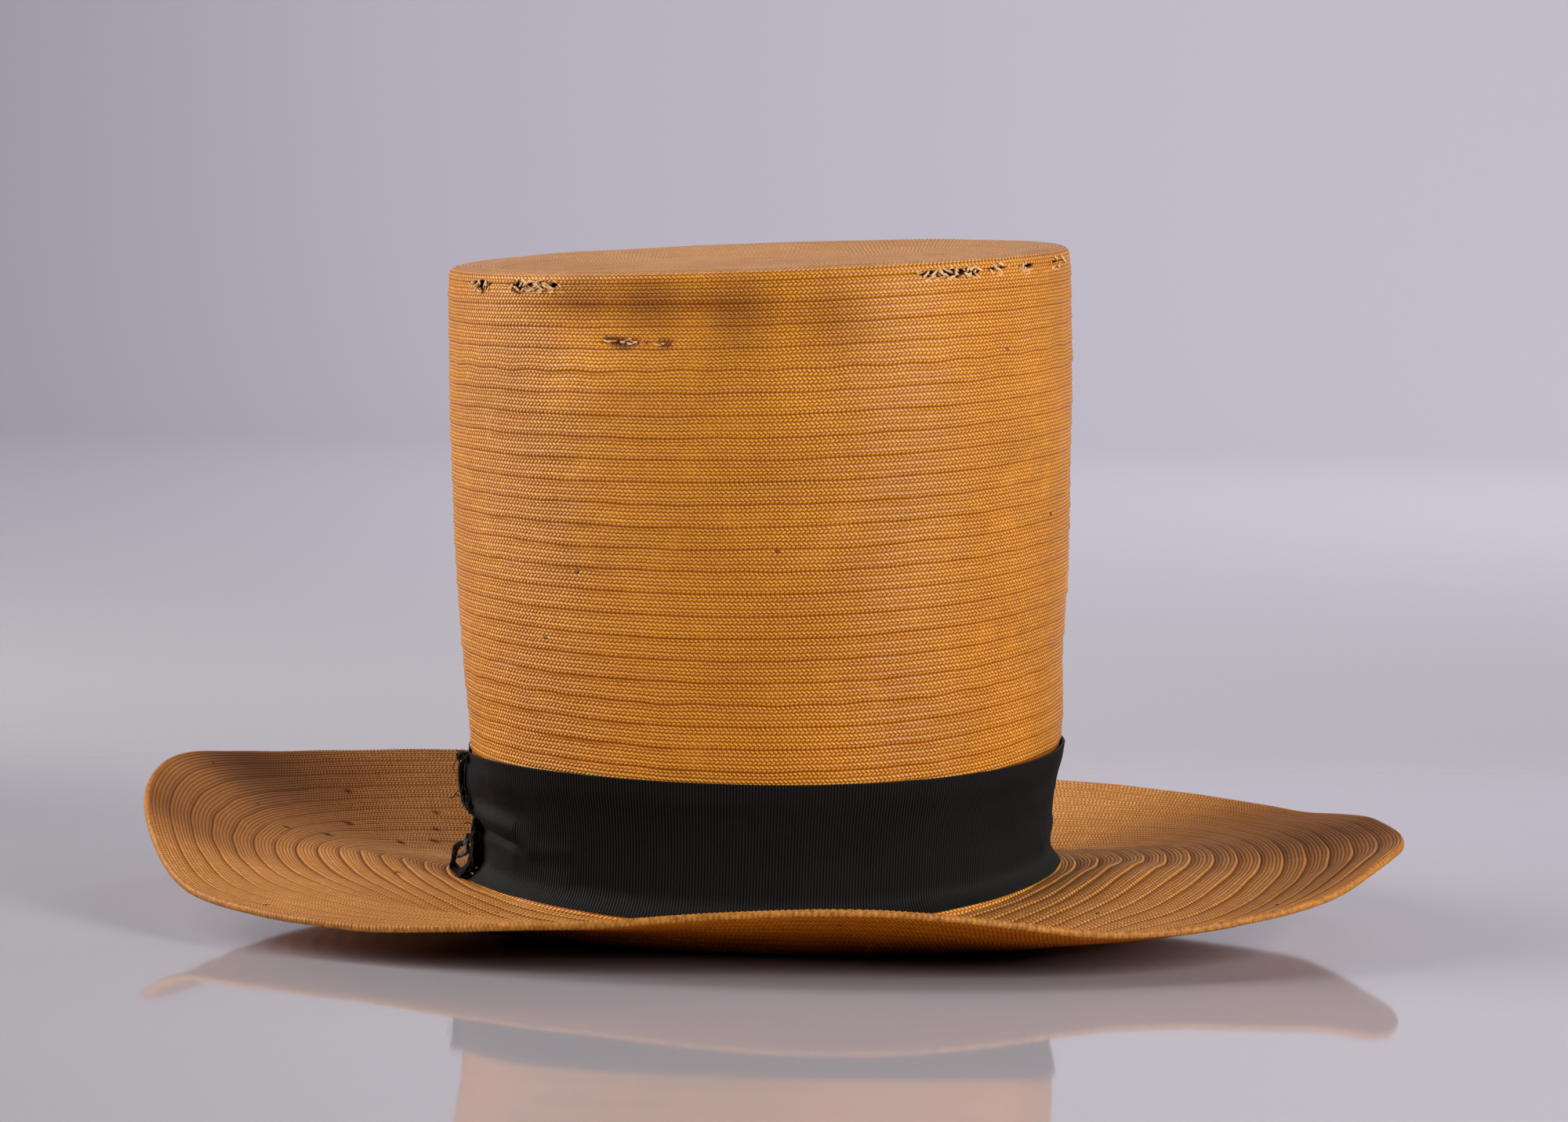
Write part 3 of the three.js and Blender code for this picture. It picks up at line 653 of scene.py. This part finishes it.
def crown_tip():
    angle = crown_angle
    middle = CROWN_SECTIONS[-1, 4]
    seam = line_height(TIP_LINE, angle) - SEAM_DROP
    # the tip's edge lifts a little where the seam is torn
    open_seam = 0.3 * seam_tear(angle) - 0.25
    rings, course, across = [], [], []

    def lay(ring, k, share):
        rings.append(ring)
        course.append(k)
        across.append(share)

    for k in range(TIP_COURSES, -1, -1):
        for share, drop in TIP_UNDERSIDE:
            inset = min(TIP_RINGS_BEGIN + (k + share) * COURSE, middle)
            lay(tip_point(angle, [inset], [STRAW + drop])[0], k + 1, share)
    under = len(rings)
    lay(crown_point(angle, seam + open_seam, -STRAW), 0, 0.9)
    lay(crown_point(angle, seam + open_seam, 0.2), 0, 0.01)
    lay(crown_point(angle, seam + open_seam + 0.1, 0.3), 0, 0.02)
    for share, inset, drop in TIP_LIP:
        lay(tip_point(angle, [inset], [drop])[0], 0, share)
    swell = uneven(angle, TIP_COURSES + 1, 0.07, (3, 5, 9, 14), 21)
    for k in range(TIP_COURSES + 1):
        for share, stand in PLAIT_PROFILE:
            inset = TIP_RINGS_BEGIN + (k + share) * COURSE
            if inset < middle - 0.3:
                # the tip's plait is flatter than the crown's
                lay(tip_point(angle, [inset], [-0.42 * stand - swell[k]])[0], k + 1, share)
    lay(tip_point(angle, [middle], [0.05])[0], TIP_COURSES + 1, 1.0)
    # inside straw on the underside, then the crown's colour on seven rows over the seam
    row = np.arange(len(rings))
    finish = np.select([row < under, row < under + 7], [1, 2], 0)
    made = plaited("crown_tip_plait", np.array(rings), np.array(course), np.array(across),
                   [tip_straw_with_painted_sheen, inside_straw, crown_straw], finish, form="disc")
    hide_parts("crown_tip")


# Brim

def brim():
    angle = 90 + np.arange(BRIM_COLUMNS) * 360 / BRIM_COLUMNS
    reach = RIM[0] - CROWN_WALL[0]
    inner = (HEAD_OPENING - CROWN_WALL[0]) / reach
    outer = 1 - 0.55 * RIM_BINDING / reach
    lines = inner + (outer - inner) * np.arange(BRIM_COURSES + 1) / BRIM_COURSES
    swell = uneven(angle, BRIM_COURSES + 1, 0.10, (3, 5, 9, 14, 25), 31)
    lift = 0.9 + uneven(angle, BRIM_COURSES + 1, 0.3, (2, 4, 7, 12, 19), 33)
    drift = uneven(angle, BRIM_COURSES + 1, 0.0022, (3, 5, 8, 13, 21, 34), 32)
    drift[0] = drift[-1] = 0
    rings, course, across, face = [], [], [], []

    def lay(k, share, stand, side):
        low, high = lines[k] + drift[k], lines[k - 1] + drift[k - 1]
        middle = float(lines[k] + (lines[k - 1] - lines[k]) * share)
        moved = (low + (high - low) * share - middle) * reach
        if side == 0:
            # rubbed straw keeps a little of its relief
            left = 0.12 + 0.88 * spots_left(brim_middle(angle, [middle])[0], BRIM_RUBBED_AND_LIT)
            stand = stand * left + STRAW / 2
        points = brim_point(angle, [middle], np.array([stand]))[0]
        out = brim_middle(angle, [middle + 0.01])[0] - brim_middle(angle, [middle - 0.01])[0]
        out /= np.linalg.norm(out, axis=1, keepdims=True)
        points = points + out * moved[:, None]
        points[:, 2] = np.clip(points[:, 2], 0, None)
        rings.append(points)
        course.append(k)
        across.append(share)
        face.append(side)

    for k in range(1, BRIM_COURSES + 1):
        for share, stand in BRIM_UNDERSIDE:
            lay(k, share, stand, 1)
    for k in range(BRIM_COURSES, 0, -1):
        for share, stand in BRIM_PROFILE:
            lay(k, share, stand * lift[k] + swell[k], 0)
    made = plaited("brim_plait", np.array(rings), np.array(course), np.array(across), [brim_straw, inside_straw],
                   np.array(face))
    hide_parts("brim")


def brim_edge():
    """The last plait turned over the edge, its straws standing side by side like beads."""
    straws = 868
    columns = RIB_COLUMNS * straws
    angle = 90 + np.arange(columns) * 360 / columns
    reach = RIM[0] - CROWN_WALL[0]
    bead = 0.14 * np.cos(np.arange(columns) * 2 * math.pi / RIB_COLUMNS)
    dents = uneven(angle, 1, 0.12, (5, 9, 17, 31), 41)[0]
    rings = []
    for turn in np.linspace(-0.9 * math.pi, 0.9 * math.pi, 11):
        inset = RIM_BINDING / 2 - (RIM_BINDING / 2 - 0.1 + bead) * math.cos(turn)
        stand = (1.15 + bead) * math.sin(turn) + dents
        middle = brim_middle(angle, [1 - RIM_BINDING / 2 / reach])[0]
        out = brim_middle(angle, [1.0])[0] - middle
        out /= np.linalg.norm(out, axis=1, keepdims=True)
        points = brim_point(angle, [1 - RIM_BINDING / 2 / reach], np.array([stand]))[0]
        rings.append(points + out * (RIM_BINDING / 2 - inset)[:, None])
    rings = np.array(rings)
    made = piece("rim_binding", rings.reshape(-1, 3), grid_faces(len(rings), columns, True, True), [rim_straw])
    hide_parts("brim_edge")


# Band

RIBBON_START, RIBBON_END = 189, 531
MM_PER_DEGREE = 1.55
RIBS = 530
# degrees over which the raw end stands off the crown, and degrees that its top leans back
RAW_END = (9, 9)
# share of the ribbon's width, stand off the crown, and lift at the raw edge, as in the part
RIBBON_LEVELS = np.array([
    (0, 0.3, 0), (0.12, 0.3, 0), (0.45, 0.3, 0.4), (0.6, 0.3, 3.6), (0.72, 0.35, 3.8), (0.88, 0.9, 1.8),
    (1, 0.9, 0.6),
])
ribbon_level = smooth_curve(RIBBON_LEVELS[:, 0], RIBBON_LEVELS[:, 1:])

# creases in the ribbon: from and to as angle and height, then how far they stand and their half width
CREASES = (
    ((187, 30), (211, 25), 1.0, 6.0),
    ((189, 31.8), (206, 29.4), 0.9, 2.2),
    ((186, 28.4), (210, 22.8), -1.0, 1.3),
    ((187, 37), (209, 34.3), -0.5, 2.2),
    ((192, 45), (214, 41), 0.5, 3.0),
    ((196, 17), (222, 14), 0.5, 2.6),
    ((207, 22), (222, 24), 0.5, 2.2),
    ((338, 26), (352, 31), 0.6, 2.2),
    ((330, 40), (347, 44), 0.5, 2.6),
)


def ribbon_point(angle, share, stand):
    low = line_height(RIBBON_LOW_LINE, angle)
    height = low + (line_height(RIBBON_TOP_LINE, angle) - low) * share
    for (a0, h0), (a1, h1), tall, half in CREASES:
        ax, ay = (angle - a0) * MM_PER_DEGREE, height - h0
        bx, by = (a1 - a0) * MM_PER_DEGREE, h1 - h0
        along = np.clip((ax * bx + ay * by) / (bx * bx + by * by), 0, 1)
        off = (ax - along * bx) ** 2 + (ay - along * by) ** 2
        stand = stand + tall * np.exp(-off / half ** 2)
    return crown_point(angle, height, stand)


def hat_band():
    columns = RIB_COLUMNS * RIBS
    angle = np.linspace(RIBBON_START, RIBBON_END, columns)
    steps = np.linalg.norm(np.diff(ribbon_point(angle, 0.5, 0.3), axis=0), axis=1)
    length = np.concatenate([[0], np.cumsum(steps)])
    angle = np.interp(np.linspace(0, length[-1], columns), length, angle)
    off, lean = RAW_END
    free = np.clip(1 - (angle - RIBBON_START) / off, 0, 1)
    rib = 0.17 * np.cos(np.arange(columns) * 2 * math.pi / RIB_COLUMNS)
    wave = uneven(angle, 1, 0.2, (5, 9, 16, 27), 51)[0]
    outside = (0, 0.008, 0.03, *np.linspace(0.08, 0.92, 22), 0.97, 0.992, 1)
    inside = (1, 0.88, 0.72, 0.6, 0.45, 0.12, 0)
    rings = []
    for number, share in enumerate(outside + inside):
        stand, lift = ribbon_level(share)
        at = angle - lean * share * free
        out = stand + lift * free ** 2 + wave * 0.5
        if number < len(outside):
            out = out + RIBBON + rib * (1 if 0 < number < len(outside) - 1 else 0.3)
        rings.append(ribbon_point(at, share, out))
    rings = np.array(rings)
    rows = len(rings)
    faces = grid_faces(rows, columns, True, False)
    # each corner is given the number of its rib
    count = np.stack([faces % columns / RIB_COLUMNS, np.zeros(faces.shape)], -1).reshape(-1, 2)
    count = np.concatenate([count, np.full((2 * rows, 2), 0.5)])
    faces = faces.tolist()
    for column, flip in ((0, False), (columns - 1, True)):
        cap = [r * columns + column for r in range(rows)]
        faces.append(cap if flip else cap[::-1])
    made = piece("hat_band_ribbon", rings.reshape(-1, 3), faces, [band_ribbon], uv=count)
    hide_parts("hat_band")
    return made, rings[:len(outside)]


# Torn end of the band

# paths of threads, as points of angle, height and stand
RAW_EDGE = ((182, 51.0, 3.4), (182.5, 49.3, 3.9), (183, 45.5, 5.0), (183.5, 41.9, 5.6), (184.5, 39.0, 5.8),
            (185.2, 36.7, 5.9), (186, 35.1, 5.6), (186.8, 34.1, 5.0), (187.5, 32.7, 4.2), (188, 32.0, 3.6),
            (189, 29.8, 2.9))
TUFT = ((185, 49.4, 1.9), (184, 49.7, 2.7), (183, 49.9, 3.6), (182.2, 50.0, 4.4))
TORN_STRIP = ((189.5, 29.9, 3.0), (189.7, 26.8, 3.1), (189.6, 23.6, 3.2), (189.4, 20.4, 3.3), (189, 17.4, 3.4),
              (188.2, 14.6, 3.4), (187.8, 12.4, 3.3), (187.6, 10.6, 3.0))
TORN_LOOP = ((185, 22.2, 4.8), (183.5, 21.2, 6.6), (182.2, 19.7, 8.0), (181.5, 16.7, 8.3), (181.3, 13.8, 7.0),
             (182, 12.4, 4.6), (183.5, 12.1, 2.4))
RED_LOOP = ((181, 49.9, 3.5), (180, 48.9, 4.3), (179, 47.2, 6.3), (179, 45.6, 7.2), (179.5, 44.2, 6.6),
            (181, 42.6, 5.7), (182, 42.0, 4.9))
LOOSE_THREADS = (
    ((182, 50.5, 3.6), (181, 51.4, 4.7), (180, 51.8, 5.6)),
    ((183, 49.6, 3.4), (182, 48.4, 4.9), (181, 48.8, 5.5)),
    ((185, 37.0, 6.0), (183, 37.2, 7.6), (182, 36.2, 9.0), (181, 35.8, 9.7)),
    ((182, 38.3, 6.9), (182, 37.5, 7.7), (182, 37.0, 7.2)),
    ((185, 28.2, 6.2), (187, 28.7, 5.1), (188, 28.1, 4.2)),
    ((183.5, 55.1, 0.9), (182.5, 53.7, 1.4), (183, 52.5, 1.1)),
)
GREY_FLAP = ((186, 24.7, 5.2), (185.7, 22.0, 5.4), (186, 19.0, 4.8), (184.5, 18.0, 6.6), (184, 17.0, 7.4))
WHITE_SPECK = ((183.4, 49.0, 4.6), (183.6, 48.3, 4.7))


def along(path, count):
    """Even points along a path of angle, height and stand, in that form."""
    path = np.asarray(path, float)
    return smooth_curve(np.linspace(0, 1, len(path)), path)(np.linspace(0, 1, count))


def bundle(path, count, threads, spread, seed):
    """Threads that wander side by side along a path."""
    rng = np.random.default_rng(seed)
    base = along(path, count)
    share = np.linspace(0, 1, count)
    made = []
    for _ in range(threads):
        turn, twist, phase = rng.uniform(0, 2 * math.pi), rng.uniform(5, 16), rng.uniform(0, 2 * math.pi)
        sway = spread * (0.55 + 0.45 * np.sin(twist * share * 2 + phase))
        height = base[:, 1] + sway * np.cos(turn + twist * share)
        stand = base[:, 2] + sway * np.sin(turn + twist * share)
        around = base[:, 0] + 0.5 * sway * np.sin(phase + 3 * share)
        made.append(crown_point(around, height, stand))
    return made


def hairs(path, count, reach, seed):
    """Short fibres that stand out all round a path."""
    rng = np.random.default_rng(seed)
    base = along(path, count)
    made = []
    for angle, height, stand in base:
        start = crown_point(angle, height, stand)
        way = rng.normal(0, 1, 3)
        way[0] -= 0.6
        way *= reach * rng.uniform(0.4, 1.2) / np.linalg.norm(way)
        bend = rng.normal(0, 0.35 * reach, 3)
        share = np.linspace(0, 1, 5)[:, None]
        made.append(start + way * share + bend * share * share)
    return made


def torn_band_end():
    ropes = bundle(RAW_EDGE, 40, 20, 0.75, 61) + bundle(TORN_STRIP, 34, 46, 2.1, 62)
    ropes += bundle(TORN_LOOP, 40, 16, 0.8, 63) + bundle(TUFT, 24, 18, 1.5, 70)
    fluff = hairs(RAW_EDGE, 150, 1.4, 64) + hairs(TORN_STRIP, 90, 1.6, 65) + hairs(TORN_LOOP, 90, 1.0, 66)
    fluff += hairs(TUFT, 70, 1.8, 67)
    loose = [crown_point(*along(path, 12).T) for path in LOOSE_THREADS]
    paths = ropes + loose + fluff
    thick = [0.4] * len(ropes) + [0.17] * len(loose) + [0.13] * len(fluff)
    made = strands("band_torn_threads", paths, thick, band_thread)
    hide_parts("band_frayed_end")
    red = strands("red_loose_thread", bundle(RED_LOOP, 26, 2, 0.14, 68), 0.16, red_thread)
    flap = strands("grey_torn_fibres", bundle(GREY_FLAP, 18, 9, 0.8, 69), 0.4, grey_fibres)
    speck = strands("pale_fibre", [crown_point(*along(WHITE_SPECK, 4).T)], 0.28, pale_fibre)
    return made, red, flap, speck


# Lining behind the tears, and the ends of broken straws

LINING_HEIGHT = 11


def tip_lining(name, node, start, end, seed):
    angle = np.linspace(start, end, 60)
    top = line_height(TIP_LINE, angle) - SEAM_DROP - GAP
    fold = uneven(angle * 9, 4, 0.22, (2, 3, 5), seed)
    rings = []
    for number, share in enumerate((0, 0.3, 0.65, 1)):
        rings.append(crown_point(angle, top - LINING_HEIGHT * share, -STRAW - 0.9 + fold[number]))
    for number, share in enumerate((1, 0.65, 0.3, 0)):
        rings.append(crown_point(angle, top - LINING_HEIGHT * share, -STRAW - 1.7 + fold[3 - number]))
    rows, columns = len(rings), len(angle)
    faces = grid_faces(rows, columns, True, False)[:, ::-1].tolist()
    faces.append([r * columns for r in range(rows)])
    faces.append([r * columns + columns - 1 for r in range(rows)][::-1])
    made = piece(name, np.array(rings).reshape(-1, 3), faces, [lining_cloth])
    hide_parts(node)


# broken ends along the tears of the tip's seam, then in the slit: from and to in degrees, how many, and length
BROKEN_ENDS = ((197.5, 206.5, 26, 3.2), (212.5, 224.5, 56, 3.8), (294, 308, 60, 3.6), (310.5, 315, 20, 3.0),
               (319, 324, 20, 2.6), (331, 340, 16, 2.4))
SPLIT_ENDS = ((235.5, 241.2, 9, 3.4), (246, 247.4, 2, 2.0))


def broken_straws():
    rng = np.random.default_rng(71)
    paths, thick = [], []

    def stick(angle, height, stand, length, rise):
        share = np.linspace(0, 1, 6)
        side = rng.choice([-1, 1]) * length * rng.uniform(0.3, 1.0) / MM_PER_DEGREE
        out = rng.uniform(-0.1, 1.2)
        bend = rng.uniform(-0.5, 0.5)
        paths.append(crown_point(angle + side * share, height + rise * share + bend * share * (1 - share) * 4,
                                 stand + out * share ** 2))
        thick.append(rng.uniform(0.26, 0.5))

    for start, end, count, length in BROKEN_ENDS:
        for angle in rng.uniform(start, end, count):
            seam = line_height(TIP_LINE, angle) - SEAM_DROP
            if rng.random() < 0.55:
                stick(angle, seam - rng.uniform(2.2, 3.4), rng.uniform(-1.2, 0.5), length, rng.uniform(0.2, 2.2))
            else:
                stick(angle, seam + rng.uniform(0.3, 1.4), rng.uniform(-0.8, 0.4), length, -rng.uniform(0.4, 2.4))
    for start, end, count, length in SPLIT_ENDS:
        for angle in rng.uniform(start, end, count):
            stick(angle, SLIT_HEIGHT + rng.uniform(-0.7, 0.9), rng.uniform(-0.6, 0.2), length,
                  rng.uniform(-0.7, 0.7))
    made = strands("broken_straw_ends", paths, thick, broken_straw)


crown_side()
crown_tip()
brim()
brim_edge()
ribbon, ribbon_rings = hat_band()
torn = torn_band_end()
tip_lining("tip_lining_cloth_left", "tip_lining_left", 192, 231, 81)
tip_lining("tip_lining_cloth_right", "tip_lining_right", 288, 321, 82)
broken_straws()


# Floor, lights and camera

def table_top():
    """A pale polished table mirrors the hat. All round it the same paint is matt, so that no edge shows."""
    made, tree = material("pale_polished_table")
    where = add(tree, "ShaderNodeSeparateXYZ", {0: object_place(tree)}).outputs
    roughness = polish = 0.05
    # behind the hat, in front of it and to its sides: how far the polish reaches, and where the paint is matt
    for way, polished, matt in ((where["Y"], 0.2, 1.1), (where["Y"], -0.6, -0.95),
                                (calc(tree, "ABSOLUTE", where["X"]), 0.5, 0.85)):
        roughness = calc(tree, "MAXIMUM", spread(tree, way, polished, matt, polish, 0.9), roughness)
    # painted shade: the table is painted a little darker and greyer on the left
    paint = mixed(tree, spread(tree, where["X"], -0.25, 0.25, 0.0, 1.0), "#afacb4", "#b8b5be")
    return finished(made, tree, Base_Color=paint, Roughness=roughness, IOR=1.36, Specular_IOR_Level=0.5)


def studio_sweep():
    """A floor that curves up into the backdrop, so that no line shows behind the hat."""
    half, starts, bend = 4.8, 3.4, 1.9
    curve = [(-4.8, 0.0), (starts, 0.0)]
    curve += [(starts + bend * math.sin(t), bend - bend * math.cos(t)) for t in np.linspace(0.05, math.pi / 2, 24)]
    curve += [(starts + bend, 4.8)]
    positions = [(x, y, z) for y, z in curve for x in (-half, half)]
    faces = [(2 * i, 2 * i + 1, 2 * i + 3, 2 * i + 2) for i in range(len(curve) - 1)]
    mesh = bpy.data.meshes.new("studio_sweep")
    mesh.from_pydata(positions, [], faces)
    mesh.materials.append(table_top())
    mesh.shade_smooth()
    sweep = bpy.data.objects.new("studio_sweep", mesh)
    bpy.context.scene.collection.objects.link(sweep)


def soft_box(name, turn, rise, size, watts, colour="#fffbf6", distance=2.0):
    """A soft box round the hat: turn is in degrees from the front, to the right, and rise is above the floor."""
    turn, rise = math.radians(turn), math.radians(rise)
    at = Vector((math.sin(turn) * math.cos(rise), -math.cos(turn) * math.cos(rise), math.sin(rise))) * distance
    lamp_towards(name, at + Vector((0, 0, 0.1)), Vector((0, 0, 0.1)), size, watts, colour)


def lamp_towards(name, at, towards, size, watts, colour):
    lamp = bpy.data.lights.new(name, "AREA")
    lamp.shape = "RECTANGLE"
    lamp.size, lamp.size_y = size
    lamp.energy = watts
    lamp.color = linear(colour)[:3]
    box = bpy.data.objects.new(name, lamp)
    box.location = at
    box.rotation_euler = (towards - at).to_track_quat("-Z", "Y").to_euler()
    box.visible_camera = False
    bpy.context.scene.collection.objects.link(box)


studio_sweep()
soft_box("soft_box_left_back", -110, 20, (1.0, 1.0), 20.6)
soft_box("soft_box_left_high", -110, 45, (1.0, 1.0), 14)
soft_box("soft_box_left", -80, 22, (1.0, 1.0), 21.7)
soft_box("soft_box_right_front", 42, 20, (0.8, 0.8), 40)
soft_box("soft_box_right", 95, 20, (1.0, 1.0), 7)
lamp_towards("backdrop_light", Vector((1.7, 2.0, 2.6)), Vector((0.7, 4.3, 0.85)), (1.6, 0.8), 124, "#f8f5fa")

world = bpy.data.worlds.new("studio")
world.use_nodes = True
world.node_tree.nodes["Background"].inputs["Color"].default_value = linear("#b9b9c6")
world.node_tree.nodes["Background"].inputs["Strength"].default_value = 0.01
bpy.context.scene.world = world
bpy.context.scene.view_settings.view_transform = "Standard"

# The camera stands where the photograph was taken: from the hat's front, a little to its left
CAMERA_AT = Vector((-0.2729, -2.0654, 0.2491))
TURNED, PITCHED, ROLLED = (math.radians(v) for v in (7.577, 3.645, 1.4226))

ahead = Vector((math.sin(TURNED) * math.cos(PITCHED), math.cos(TURNED) * math.cos(PITCHED), -math.sin(PITCHED)))
level = Vector((math.cos(TURNED), -math.sin(TURNED), 0))
upward = level.cross(ahead)
right = level * math.cos(ROLLED) + upward * math.sin(ROLLED)
above = upward * math.cos(ROLLED) - level * math.sin(ROLLED)
lens = bpy.data.cameras.new("camera")
lens.sensor_width = 36
lens.lens = 145.6
lens.clip_end = 20
camera = bpy.data.objects.new("camera", lens)
camera.matrix_world = Matrix.Translation(CAMERA_AT) @ Matrix((right, above, -ahead)).transposed().to_4x4()
bpy.context.scene.collection.objects.link(camera)
bpy.context.scene.camera = camera
